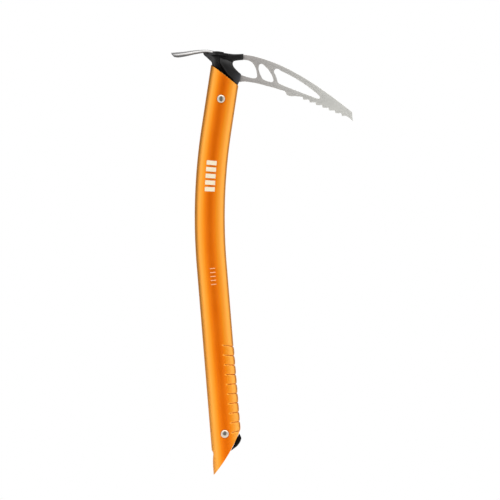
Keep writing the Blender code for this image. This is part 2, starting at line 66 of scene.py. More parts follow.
# The grip
GROOVES, GROOVE_PITCH, GROOVE_MIDDLE = 10, 9.95, -1.3
GROOVE_TILT_TOP, GROOVE_TILT_BOTTOM = math.radians(12.0), math.radians(-9.0)
GROOVE_DEPTH, GROOVE_HALF_WIDTH, SCALLOP_HEIGHT = 0.8, 0.42, 0.45
GRIP_END_TOP, GRIP_END_BOTTOM = math.radians(78.0), math.radians(70.0)  # its reach round from the front
GRIP_FADE = math.radians(9.0)  # the turn over which a groove's end runs out
GRIP_RUN_OUT = 3.0  # how far along the shaft the scallops fade beyond the end grooves
GRIP_FINE = (-38.0, 54.0, 0.45)  # stations between which the mesh is finest, and its step there

# Printed marks on the shaft, each as (station, across, length up the shaft, width)
BARS = [(239.6 - 7.0 * i, -0.6, 4.6, 10.6) for i in range(5)]
DASHES = [(127.6 - 4.2 * i, 0.6, 0.9, 5.6) for i in range(5)]
INK_RELIEF, INK_SINK = 0.04, 0.1  # how far a mark stands out of the shaft's skin, and how far it goes in

# The pick
PICK_THICKNESS, PICK_ROUNDING = 3.5, 0.22
PICK_BRIGHTENING = (20.0, 110.0)  # the x where its steel starts to get brighter, and where it is brightest
THINNING_START, THINNING = 88.0, 0.42  # where it starts to thin, and the share that the tip has lost

# The moulded head
CORNER = "corner"
HEAD_OUTLINE = [
    (-19.9, 356.6, CORNER), (-19.0, 353.8), (-16.2, 351.2), (-12.9, 348.1), (-10.6, 345.6),
    (-10.3, 342.4, CORNER), (16.8, 321.7, CORNER), (18.7, 326.1), (20.4, 333.1, CORNER), (17.7, 335.4),
    (14.6, 338.5), (12.4, 341.3), (11.5, 344.2), (12.7, 346.9), (16.2, 347.7), (22.8, 348.3, CORNER),
    (22.8, 354.7, CORNER), (17.7, 354.4), (12.6, 354.4), (7.5, 354.9), (2.4, 355.5, CORNER),
    (2.0, 356.4, CORNER), (-4.2, 357.3), (-10.2, 357.2, CORNER),
]
REAR_EDGE = [point[:2] for point in HEAD_OUTLINE[:6]]
SPINE = [(0.0, 5.7), (2.6, 7.1), (4.6, 6.1), (8.4, 4.3)]  # half-thickness at distances in from the rear edge
SHOULDER_TOP = [(-4.0, 352.2), (10.6, 346.7)]  # the cheek's upper edge
SHOULDER_RUN = 9.0  # how far the cheek's rounding reaches in from its upper edge
CHEEK_EDGE = [(-3.8, 353.0), (-4.4, 345.5), (-0.6, 339.7), (3.4, 333.4), (9.8, 327.0)]  # its rear edge
CHEEK_RUN = 2.8  # how far the cheek's wall reaches in from that edge
CHEEK_REACH, CHEEK_FLARE = 3.0, 0.4  # its reach past the shaft's front, and the gain for each mm up
CHEEK_FLARE_HEIGHT = 8.0  # where that gain stops
UNDERCUT_RUN, UNDERCUT = 8.0, 2.2  # the rounding above the shaft's cut end
COLLAR_INSET, COLLAR_HEIGHT = 1.6, 0.5  # in the tube's mouth: in from the shaft's skin, and its height
NECK_FLANGE_LINE = [(-10.6, 357.2), (-4.2, 357.3), (2.0, 356.2)]
FLANGE_HALF_THICKNESS, FLANGE_HEIGHT = 7.0, 3.4  # round the adze's neck
ARM_END, ARM_LIP = 20.2, 0.5  # where the arm thickens at its end, and by how much on each side
SPINE_BLUR = (-0.8, -0.4, 0.0, 0.4, 0.8)  # the shifts over which the spine's profile is averaged
FLANGE_FADE, ARM_FADE, COLLAR_FADE = 1.8, 0.8, 0.9  # how far each takes to blend in
RIM_RADIUS, ARM_RIM_RADIUS, TIGHT_RIM_RADIUS = 1.9, 1.3, 0.7
ARM_RIM_START, TIGHT_REACH = 15.0, 3.0  # the arm's radius in front of this x, the tight one this near an edge
MOULD_LINE_DEPTH = 0.12  # of the faint line round the middle of the rim
RIM_INSETS = (0.06, 0.2, 0.42, 0.75, 1.2, 1.7)  # of the rings of points that carry the rim's rounding
OUTLINE_SPACING, HEAD_SPACING = 0.45, 0.55  # between points on the outline, and on the grid inside it
GRID_MARGIN = 2.0  # how far inside the outline the grid starts
BRIGHT_FOOT_X, BRIGHT_FOOT_Z = (12.0, 20.0), (336.0, 329.0)  # over which the cheek's foot gets glossier and takes a painted bluish sheen
BRIGHT_SPINE_X, BRIGHT_SPINE_Y = (-6.0, -8.5), (5.6, 6.9)  # and over which the spine gets glossier and takes a painted highlight

# The adze, at equal shares of its length from the cutting edge
ADZE_CROWN = [
    (-53.7, 355.8), (-41.2, 356.8), (-29.8, 358.3), (-19.0, 358.97), (-11.2, 358.4), (-4.2, 356.1),
    (1.2, 354.9),
]
ADZE_HALF_WIDTHS = [23.0, 20.6, 14.6, 9.6, 7.4, 5.6, 3.6]
ADZE_DROPS = [2.9, 2.4, 1.9, 1.0, 0.9, 0.2, 0.0]
ADZE_THICKNESS, ADZE_EDGE_THICKNESS, ADZE_CORNER_SETBACK = 2.0, 0.9, 2.9
ADZE_GROUND = 0.09  # the share of its length over which the blade is ground down to its edge
ADZE_SIDE_ROUNDING = 0.3  # a share of its thickness
# Points round its side: shares of the thickness below the top, and of that rounding outwards
ADZE_SIDE_PROFILE = [(0.12, 0.65), (0.35, 1.0), (0.65, 1.0), (0.88, 0.65)]
ADZE_DARKENING = (-36.0, -52.0)  # the x where its steel starts to get darker, and where it is darkest

# A rivet head's profile: shares of its radius, and how far below the crown the head is there
RIVET_PROFILE = [
    (0.0, 0.0), (0.25, 0.01), (0.45, 0.045), (0.6, 0.13), (0.72, 0.27), (0.84, 0.5), (0.93, 0.8),
    (0.98, 1.1), (1.0, 1.4),
]
RIVET_FOOT = 0.97  # the share of its radius that meets the shaft
RIVET_SHANK, RIVET_SEAT, RIVET_UNDERCUT = 2.5, 0.25, 0.3  # radius, sink into the shaft, relief below the head

# Brightness of the surroundings, by degrees round to the right from the front
SOFTBOXES = [
    (-180, 0.20), (-170, 0.24), (-158, 0.60), (-146, 0.50), (-130, 0.08), (-108, 0.06), (-84, 0.40),
    (-66, 1.0), (-46, 0.92), (-32, 0.66), (-13, 0.70), (-9, 0.12), (9, 0.12), (13, 0.70), (36, 0.60),
    (58, 0.68), (74, 1.0), (92, 1.0), (110, 0.10), (130, 0.08), (146, 0.50), (158, 0.60), (170, 0.24),
    (180, 0.20),
]
CEILING = 1.7  # brightness straight above
CEILING_START, CEILING_FULL = 0.42, 0.9  # the sine of the height above the horizon where it fades in
LIGHT_STRENGTH = 1.6

# The camera looks along +Y at this point
VIEW_X, VIEW_Z = 29.9, 146.8
VIEW_WIDTH, VIEW_DISTANCE = 530.0, 6000.0
FLOOR_RADIUS, FLOOR_LEVEL = 900.0, -170.0


def axis_point(station):
    """Centreline point (x, z) and the shaft's lean there, which is positive where it leans back going up."""
    straight = min(station, BEND_START)
    x, z = -math.sin(LOWER_LEAN) * straight, math.cos(LOWER_LEAN) * straight
    bend = min(max(station - BEND_START, 0.0) / BEND_RADIUS, BEND_ANGLE)
    lean = LOWER_LEAN - bend
    x += BEND_RADIUS * (math.cos(LOWER_LEAN) - math.cos(lean))
    z += BEND_RADIUS * (math.sin(LOWER_LEAN) - math.sin(lean))
    beyond = max(station - BEND_START - BEND_RADIUS * BEND_ANGLE, 0.0)
    return x - math.sin(lean) * beyond, z + math.cos(lean) * beyond, lean


def shaft_point(station, across=0.0, side=0.0):
    """A point in the shaft's own directions, as (x, y, z) in mm."""
    x, z, lean = axis_point(station)
    return Vector((x + across * math.cos(lean), side, z + across * math.sin(lean)))


def smooth(share):
    """0 below 0, 1 above 1 and an S curve between. It takes a number or an array."""
    held = np.clip(share, 0.0, 1.0)
    return held * held * (3 - 2 * held)


# ---------------------------------------------------------------- meshes


def add_piece(name, mesh, material):
    piece = bpy.data.objects.new(name, mesh)
    bpy.context.scene.collection.objects.link(piece)
    mesh.materials.clear()
    mesh.materials.append(material)
    return piece


def mesh_from_bmesh(name, shape):
    """A mesh from a bmesh that is in mm. The bmesh is freed."""
    bmesh.ops.transform(shape, matrix=Matrix.Scale(MM, 4), verts=shape.verts)
    bmesh.ops.recalc_face_normals(shape, faces=shape.faces)
    mesh = bpy.data.meshes.new(name)
    shape.to_mesh(mesh)
    shape.free()
    return mesh


def shade(mesh, angle=35.0):
    """Smooth shading, except over edges sharper than this many degrees."""
    mesh.shade_smooth()
    mesh.set_sharp_from_angle(angle=math.radians(angle))


def loft(rings, closed_ends=False):
    """A bmesh through equal rings of points. The last ring joins the first, unless the ends close."""
    shape = bmesh.new()
    rows = [[shape.verts.new(point) for point in ring] for ring in rings]
    pairs = list(zip(rows, rows[1:] if closed_ends else rows[1:] + rows[:1]))
    for row, after in pairs:
        for i in range(len(row)):
            j = (i + 1) % len(row)
            shape.faces.new((row[i], row[j], after[j], after[i]))
    if closed_ends:
        shape.faces.new(list(reversed(rows[0])))
        shape.faces.new(rows[-1])
    return shape


def evaluated_mesh(piece):
    """The mesh a piece shows with its modifiers and transform. The piece is removed."""
    bpy.context.view_layer.update()
    graph = bpy.context.evaluated_depsgraph_get()
    mesh = bpy.data.meshes.new_from_object(piece.evaluated_get(graph))
    mesh.transform(piece.matrix_world)
    bpy.data.objects.remove(piece)
    return mesh


# ---------------------------------------------------------------- shaft


def foot_station(across):
    """Station of the foot's bowed bevel at a distance in front of the centreline."""
    front, rear = Vector((SHAFT_DEPTH / 2, FOOT_FRONT)), Vector((-SHAFT_DEPTH / 2, FOOT_REAR))
    run = (rear - front) / 2
    out = Vector((-run.y, run.x)).normalized() * FOOT_BOW
    start = (front + rear) / 2 + out - Vector((across, 0))
    # start.x + run.x * t - out.x * t * t is nought where the bevel crosses this distance.
    share = (run.x + math.sqrt(run.x**2 + 4 * out.x * start.x)) / (2 * out.x)
    other = (run.x - math.sqrt(run.x**2 + 4 * out.x * start.x)) / (2 * out.x)
    share = share if abs(share) < abs(other) else other
    return start.y + run.y * share - out.y * share**2


def seat_station(across):
    return SEAT_STATION - math.tan(SEAT_SLOPE) * across


def grip_relief(station, turn):
    """How far the grip stands out of the plain oval, in mm: low scallops between narrow grooves."""
    rise = SHAFT_DEPTH / 2 * (1 - math.cos(turn))
    lines = []
    for number in range(GROOVES):
        share = number / (GROOVES - 1)
        tilt = GROOVE_TILT_TOP + (GROOVE_TILT_BOTTOM - GROOVE_TILT_TOP) * share
        line = GROOVE_MIDDLE + GROOVE_PITCH * ((GROOVES - 1) / 2 - number) + rise * math.tan(tilt)
        lines.append((abs(station - line), line, share))
    distance, _, share = min(lines)
    end = GRIP_END_TOP + (GRIP_END_BOTTOM - GRIP_END_TOP) * share
    groove = GROOVE_DEPTH * math.exp(-((distance / GROOVE_HALF_WIDTH) ** 2))
    groove *= smooth((end - abs(turn)) / GRIP_FADE)
    above, below = lines[0][1], lines[-1][1]
    inside = smooth((above - station) / GRIP_RUN_OUT + 0.5) * smooth((station - below) / GRIP_RUN_OUT + 2.0)
    scallop = SCALLOP_HEIGHT * abs(math.sin(math.pi * distance / GROOVE_PITCH)) * smooth(1 - abs(turn) / end)
    return float(inside * scallop - groove)


def shaft_stations(low, high):
    """Stations from one end of the shaft to the other, closest together in the grip."""
    grip_start, grip_end, fine = GRIP_FINE
    head_start, coarse = 294.0, 4.0
    foot_steps, head_steps = 44, 14
    stations = [low + (grip_start - low) * i / foot_steps for i in range(foot_steps)]
    stations += list(np.arange(grip_start, grip_end, fine))
    stations += list(np.arange(grip_end, head_start, coarse))
    return stations + [head_start + (high - head_start) * i / head_steps for i in range(head_steps + 1)]


def shaft_column(turn):
    """The tube's wall at one turn round its oval, which is 0 at the front.

    It is a closed loop of (station, across, side) up the outside, over the seat and down the bore.
    """
    outer_depth, outer_width = SHAFT_DEPTH / 2, SHAFT_WIDTH / 2
    cos, sin = math.cos(turn), math.sin(turn)
    low, high = foot_station(outer_depth * cos), seat_station(outer_depth * cos)
    column = []
    for station in shaft_stations(low + CUT_EDGE, high - CUT_EDGE):
        out = grip_relief(station, turn)
        column.append((station, (outer_depth + out) * cos, (outer_width + out) * sin))
    insets = (CUT_EDGE, WALL - CUT_EDGE / 2, WALL)
    for inset in insets:
        depth, width = outer_depth - inset, outer_width - inset
        station = seat_station(depth * cos) - (CUT_EDGE if inset == WALL else 0)
        column.append((station, depth * cos, width * sin))
    depth, width = outer_depth - WALL, outer_width - WALL
    column += [(station, depth * cos, width * sin) for station in BORE_STATIONS]
    for inset in reversed(insets):
        depth, width = outer_depth - inset, outer_width - inset
        station = foot_station(depth * cos) + (CUT_EDGE if inset == WALL else 0)
        column.append((station, depth * cos, width * sin))
    return column


def shaft_tube(material):
    """The oval tube with its wall, its grip, both cut ends and the lanyard eye."""
    sides = 120
    columns = []
    for i in range(sides):
        columns.append([shaft_point(*place) for place in shaft_column(2 * math.pi * i / sides - math.pi)])
    rings = list(zip(*columns))
    tube = add_piece("shaft", mesh_from_bmesh("shaft", loft(rings)), material)
    cutter = add_piece("eye_cutter", mesh_from_bmesh("eye_cutter", eye_prism()), material)
    cut = tube.modifiers.new("eye", "BOOLEAN")
    cut.object = cutter
    mesh = evaluated_mesh(tube)
    bpy.data.objects.remove(cutter)
    shade(mesh, angle=28.0)
    return add_piece("shaft", mesh, material)


def eye_prism():
    """The lanyard eye's teardrop, as a prism through the rear wall."""
    steps = 40
    half_point = math.asin(EYE_RADIUS / (EYE_LENGTH - EYE_RADIUS))
    rings = []
    for across in (-SHAFT_DEPTH, -SHAFT_DEPTH / 4):
        ring = []
        for i in range(steps + 1):
            turn = -half_point + (math.pi + 2 * half_point) * i / steps
            station = EYE_STATION + EYE_RADIUS * math.sin(turn)
            ring.append(shaft_point(station, across, EYE_RADIUS * math.cos(turn)))
        ring.append(shaft_point(EYE_STATION + EYE_RADIUS - EYE_LENGTH, across, 0.0))
        rings.append(ring)
    return loft(rings, closed_ends=True)


# ---------------------------------------------------------------- outlines and plates


def smooth_outline(points, spacing):
    """A closed outline through the points, as an array, curved everywhere except at corners."""
    count = len(points)
    places = [np.array(point[:2], float) for point in points]
    sharp = [CORNER in point for point in points]
    outline = []
    for i in range(count):
        j = (i + 1) % count
        before, start, end, after = places[i - 1], places[i], places[j], places[(i + 2) % count]
        chord = end - start
        length = np.linalg.norm(chord)
        away = chord if sharp[i] else (end - before) * length / (np.linalg.norm(start - before) + length)
        into = chord if sharp[j] else (after - start) * length / (length + np.linalg.norm(after - end))
        steps = max(1, round(length / spacing))
        for step in range(steps):
            t = step / steps
            bend = (2 * t**3 - 3 * t**2 + 1) * start + (t**3 - 2 * t**2 + t) * away
            outline.append(bend + (3 * t**2 - 2 * t**3) * end + (t**3 - t**2) * into)
    return np.array(outline)


def distance_to_line(points, line, closed=False):
    """Distance of each point to a line of points."""
    starts = line if closed else line[:-1]
    ends = np.roll(line, -1, 0) if closed else line[1:]
    run = ends - starts
    reach = points[:, None, :] - starts[None]
    share = np.clip((reach * run).sum(2) / (run * run).sum(1), 0, 1)
    return np.linalg.norm(reach - share[..., None] * run, axis=2).min(1)


def inside_outline(points, outline):
    """Whether each point is inside a closed outline."""
    x, z = points[:, :1], points[:, 1:]
    x1, z1 = outline.T
    x2, z2 = np.roll(outline, -1, 0).T
    crosses = (z1 > z) != (z2 > z)
    at = x1 + (z - z1) * (x2 - x1) / np.where(z2 == z1, 1, z2 - z1)
    return (crosses & (x < at)).sum(1) % 2 == 1


def node_loops(node):
    """The outline and the holes of a CAD plate that faces along Y, each as a list of (x, z) in mm."""
    shape = bmesh.new()
    shape.from_mesh(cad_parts[node].data)
    bmesh.ops.remove_doubles(shape, verts=shape.verts, dist=NODE_WELD * MM)
    shape.normal_update()
    follows = {}
    for face in shape.faces:
        if face.normal.y > 0.9:
            for loop in face.loops:
                if loop.link_loop_radial_next.face.normal.y < 0.5:
                    follows[loop.vert] = loop.link_loop_next.vert
    loops = []
    while follows:
        vertex = next(iter(follows))
        ring = []
        while vertex in follows:
            ring.append((vertex.co.x / MM, vertex.co.z / MM))
            vertex = follows.pop(vertex)
        loops.append(ring)
    shape.free()
    return loops


def plate(name, loops, width, round_edge):
    """A mesh for a flat plate of this width in Y, with rounded edges."""
    curve = bpy.data.curves.new(name, "CURVE")
    curve.dimensions = "2D"
    curve.fill_mode = "BOTH"
    curve.extrude = (width / 2 - round_edge) * MM
    curve.bevel_depth = round_edge * MM
    curve.bevel_resolution = 2
    curve.offset = -round_edge * MM
    for ring in loops:
        spline = curve.splines.new("POLY")
        spline.points.add(len(ring) - 1)
        spline.use_cyclic_u = True
        for knot, (x, z) in zip(spline.points, ring):
            knot.co = (x * MM, z * MM, 0, 1)
    holder = bpy.data.objects.new(name, curve)
    bpy.context.scene.collection.objects.link(holder)
    holder.rotation_euler.x = math.pi / 2
    return evaluated_mesh(holder)


def soften(name, node, voxel, rounds):
    """A rounded copy of a CAD node's mesh, for a moulded piece."""
    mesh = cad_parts[node].data.copy()
    mesh.name = name
    holder = bpy.data.objects.new(name, mesh)
    bpy.context.scene.collection.objects.link(holder)
    remesh = holder.modifiers.new("even", "REMESH")
    remesh.mode = "VOXEL"
    remesh.voxel_size = voxel * MM
    relax = holder.modifiers.new("round", "SMOOTH")
    relax.iterations = rounds
    mesh = evaluated_mesh(holder)
    mesh.shade_smooth()
    return mesh


# ---------------------------------------------------------------- pick


def pick_blade(material):
    """The blasted plate, with the CAD's outline and windows, ground thinner towards its tip."""
    mesh = plate("pick", node_loops("pick_blade"), PICK_THICKNESS, PICK_ROUNDING)
    shape = bmesh.new()
    shape.from_mesh(mesh)
    bmesh.ops.remove_doubles(shape, verts=shape.verts, dist=CURVE_WELD * MM)
    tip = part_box("pick_blade")[1].x / MM
    slices = 8
    for i in range(slices):
        place = Vector((THINNING_START + (tip - THINNING_START) * i / slices, 0, 0)) * MM
        everything = shape.verts[:] + shape.edges[:] + shape.faces[:]
        bmesh.ops.bisect_plane(shape, geom=everything, dist=1e-7, plane_co=place, plane_no=(1, 0, 0))
    for vertex in shape.verts:
        share = (vertex.co.x / MM - THINNING_START) / (tip - THINNING_START)
        vertex.co.y *= 1 - THINNING * float(smooth(share))
    bmesh.ops.recalc_face_normals(shape, faces=shape.faces)
    shape.to_mesh(mesh)
    shape.free()
    shade(mesh, angle=32.0)
    return add_piece("pick", mesh, material)


# ---------------------------------------------------------------- adze


def smooth_value(share, values):
    """A value at a share from 0 to 1 along a list, by a Catmull-Rom curve through its entries."""
    place = share * (len(values) - 1)
    i = min(int(place), len(values) - 2)
    t = place - i
    before, a, b, after = (values[min(max(k, 0), len(values) - 1)] for k in (i - 1, i, i + 1, i + 2))
    bend = 2 * a + (b - before) * t + (2 * before - 5 * a + 4 * b - after) * t**2
    return (bend + (3 * a - before - 3 * b + after) * t**3) / 2


def adze_section(share):
    """The blade's closed section at a share of its length: over the top, round the edge and back below."""
    half_width = smooth_value(share, ADZE_HALF_WIDTHS)
    drop = smooth_value(share, ADZE_DROPS)
    crown_x = smooth_value(share, [point[0] for point in ADZE_CROWN])
    crown_z = smooth_value(share, [point[1] for point in ADZE_CROWN])
    ground = float(smooth(share / ADZE_GROUND))
    thickness = ADZE_EDGE_THICKNESS + (ADZE_THICKNESS - ADZE_EDGE_THICKNESS) * ground
    rounding = ADZE_SIDE_ROUNDING * thickness
    steps = 16
    sides = [2 * i / steps - 1 for i in range(steps + 1)]
    section = []
    for below in (False, True):
        for side in (reversed(sides) if below else sides):
            setback = ADZE_CORNER_SETBACK * side**2 * max(0.0, 1 - 3 * share)
            z = crown_z - drop * side**2 - (thickness if below else 0.0)
            section.append((crown_x + setback, (half_width - rounding) * side, z))
        end = section[-1]
        for sink, out in ADZE_SIDE_PROFILE:
            level = end[2] + thickness * (sink if below else -sink)
            section.append((end[0], end[1] + math.copysign(rounding * out, end[1]), level))
    return section


def adze_blade(material):
    """The polished blade, arched, thinned at its cutting edge and narrowed to a neck."""
    steps = 72
    shape = loft([adze_section(i / steps) for i in range(steps + 1)], closed_ends=True)
    mesh = mesh_from_bmesh("adze", shape)
    shade(mesh, angle=40.0)
    return add_piece("adze", mesh, material)


# ---------------------------------------------------------------- head


def quarter_round(share):
    """0 below 0 and 1 above 1, with a rise between them that starts steeply and levels off."""
    return np.sqrt(1 - (1 - np.clip(share, 0.0, 1.0)) ** 2)


def cheek_share(x, z):
    """0 beside the cheek and 1 on it, with a round rise at its upper edge and an S curve at its rear one."""
    (ax, az), (bx, bz) = SHOULDER_TOP
    below_shoulder = ((x - ax) * (bz - az) - (z - az) * (bx - ax)) / math.hypot(bx - ax, bz - az)
    edge_x, edge_z = np.array(CHEEK_EDGE)[::-1].T
    ahead = smooth((x - np.interp(z, edge_z, edge_x)) / CHEEK_RUN)
    return quarter_round(below_shoulder / SHOULDER_RUN) * ahead


def head_half_thickness(points, outline):
    """Half the head's thickness at each (x, z)."""
    x, z = points.T
    x0, z0, lean = axis_point(SEAT_STATION)
    across = (x - x0) * math.cos(lean) + (z - z0) * math.sin(lean)
    slope = lean - SEAT_SLOPE
    above_seat = (z - z0) * math.cos(slope) - (x - x0) * math.sin(slope)

    # The spine, the valley beside it and the arm.
    rear = distance_to_line(points, np.array(REAR_EDGE))
    distances, heights = np.array(SPINE).T
    softened = [np.interp(rear + shift, distances, heights) for shift in SPINE_BLUR]
    thickness = np.mean(softened, axis=0)
    from_neck = distance_to_line(points, np.array(NECK_FLANGE_LINE))
    flange = FLANGE_HALF_THICKNESS * (1 - smooth((from_neck - FLANGE_HEIGHT) / FLANGE_FADE))
    thickness = np.maximum(thickness, flange) + ARM_LIP * smooth((x - ARM_END) / ARM_FADE)

    # The cheek carries the shaft's oval up through the head and widens it towards the pick.
    flare = CHEEK_FLARE * np.clip(above_seat, 0, CHEEK_FLARE_HEIGHT)
    reach = SHAFT_DEPTH / 2 + (CHEEK_REACH + flare) * (across > 0)
    oval = SHAFT_WIDTH / 2 * np.sqrt(np.clip(1 - (across / reach) ** 2, 0, 1))
    thickness = thickness + (oval - thickness) * cheek_share(x, z)
    thickness = thickness - UNDERCUT * (1 - quarter_round(above_seat / UNDERCUT_RUN))
    collar = (oval - COLLAR_INSET) * (1 - smooth((above_seat - COLLAR_HEIGHT) / COLLAR_FADE))
    thickness = np.maximum(thickness, collar)

    # The rim rounds over towards the outline.
    rim = distance_to_line(points, outline, closed=True)
    radius = np.where(x > ARM_RIM_START, ARM_RIM_RADIUS, RIM_RADIUS)
    tight = (rear < TIGHT_REACH) | (flange > TIGHT_REACH) | (above_seat < TIGHT_REACH)
    radius = np.where(tight, TIGHT_RIM_RADIUS, radius)
    radius = np.minimum(radius, thickness)
    return thickness - radius + np.sqrt(np.clip(radius**2 - np.clip(radius - rim, 0, None) ** 2, 0, None))


def head_points(outline, inward):
    """The points of the head's height field: its outline, rings close inside it and an even grid."""
    points = [outline]
    for inset in RIM_INSETS:
        ring = outline + inset * inward
        fits = distance_to_line(ring, outline, closed=True) > 0.95 * inset
        points.append(ring[fits & inside_outline(ring, outline)])
    low, high = outline.min(0), outline.max(0)
    columns, rows = np.ceil((high - low) / HEAD_SPACING).astype(int)
    grid = [(i + 0.5 * (j % 2), j) for i in range(columns) for j in range(rows)]
    grid = low + HEAD_SPACING * np.array(grid)
    clear = distance_to_line(grid, outline, closed=True) > GRID_MARGIN
    return np.concatenate(points + [grid[inside_outline(grid, outline) & clear]])


def head_block(material):
    """The moulded head: two mirrored sheets, joined round the rim."""
    outline = smooth_outline(HEAD_OUTLINE, OUTLINE_SPACING)
    step = np.roll(outline, -1, 0) - np.roll(outline, 1, 0)
    inward = np.stack([-step[:, 1], step[:, 0]], 1) / np.linalg.norm(step, axis=1)[:, None]
    if not inside_outline((outline + 0.05 * inward)[:1], outline)[0]:
        inward = -inward
    rim = len(outline)
    edges = [(i, (i + 1) % rim) for i in range(rim)]
    points = [Vector(point) for point in head_points(outline, inward)]
    flat, _, faces, *_ = delaunay_2d_cdt(points, edges, [], 1, 0.0001)
    flat = np.array(flat)
    half = head_half_thickness(flat, outline)

    shape = bmesh.new()
    sheets = []
    for sign in (-1, 1):
        sheets.append([shape.verts.new((x, sign * y, z)) for (x, z), y in zip(flat, half)])
        for face in faces:
            shape.faces.new([sheets[-1][i] for i in face])
    middle = [shape.verts.new((x, 0, z)) for x, z in flat[:rim] - MOULD_LINE_DEPTH * inward]
    for i, j in edges:
        shape.faces.new((sheets[0][i], sheets[0][j], middle[j], middle[i]))
        shape.faces.new((middle[i], middle[j], sheets[1][j], sheets[1][i]))
    mesh = mesh_from_bmesh("head", shape)
    shade(mesh, angle=50.0)
    return add_piece("head", mesh, material)


# ---------------------------------------------------------------- fittings


def rivet(name, node, material):
    """A turned rivet with a domed head at each end, flattest in the middle."""
    low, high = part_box(node)
    centre = (low + high) / 2 / MM
    radius, half = (high.x - low.x) / 2 / MM, (high.y - low.y) / 2 / MM
    seat = SHAFT_WIDTH / 2 - RIVET_SEAT
    profile = [(share * radius, half - sink) for share, sink in RIVET_PROFILE[1:]]
    profile += [(radius * RIVET_FOOT, seat), (RIVET_SHANK, seat - RIVET_UNDERCUT)]
    profile += [(r, -y) for r, y in reversed(profile)]
    sides = 64
    turns = [2 * math.pi * i / sides for i in range(sides)]
    rings = []
    for r, y in profile:
        rings.append([centre + Vector((r * math.cos(turn), y, r * math.sin(turn))) for turn in turns])
    mesh = mesh_from_bmesh(name, loft(rings, closed_ends=True))
    shade(mesh, angle=40.0)
    return add_piece(name, mesh, material)


def printed_marks(name, marks, material):
    """Plain rectangles of ink on the shaft's right-hand side, each following the oval."""
    shape = bmesh.new()
    steps = 8
    for station, across, length, width in marks:
        rings = []
        for i in range(steps + 1):
            place = across + width * (i / steps - 0.5)
            skin = SHAFT_WIDTH / 2 * math.sqrt(1 - (2 * place / SHAFT_DEPTH) ** 2)
            inner, outer = INK_SINK - skin, -INK_RELIEF - skin
            corners = [(-0.5, inner), (-0.5, outer), (0.5, outer), (0.5, inner)]
            ring = [shaft_point(station + end * length, place, side) for end, side in corners]
            rings.append([shape.verts.new(point) for point in ring])
        for ring, after in zip(rings, rings[1:]):
            for k in range(len(ring)):
                shape.faces.new((ring[k - 1], ring[k], after[k], after[k - 1]))
        shape.faces.new(rings[0])
        shape.faces.new(rings[-1])
    mesh = mesh_from_bmesh(name, shape)
    shade(mesh, angle=40.0)
    return add_piece(name, mesh, material)


# ---------------------------------------------------------------- materials


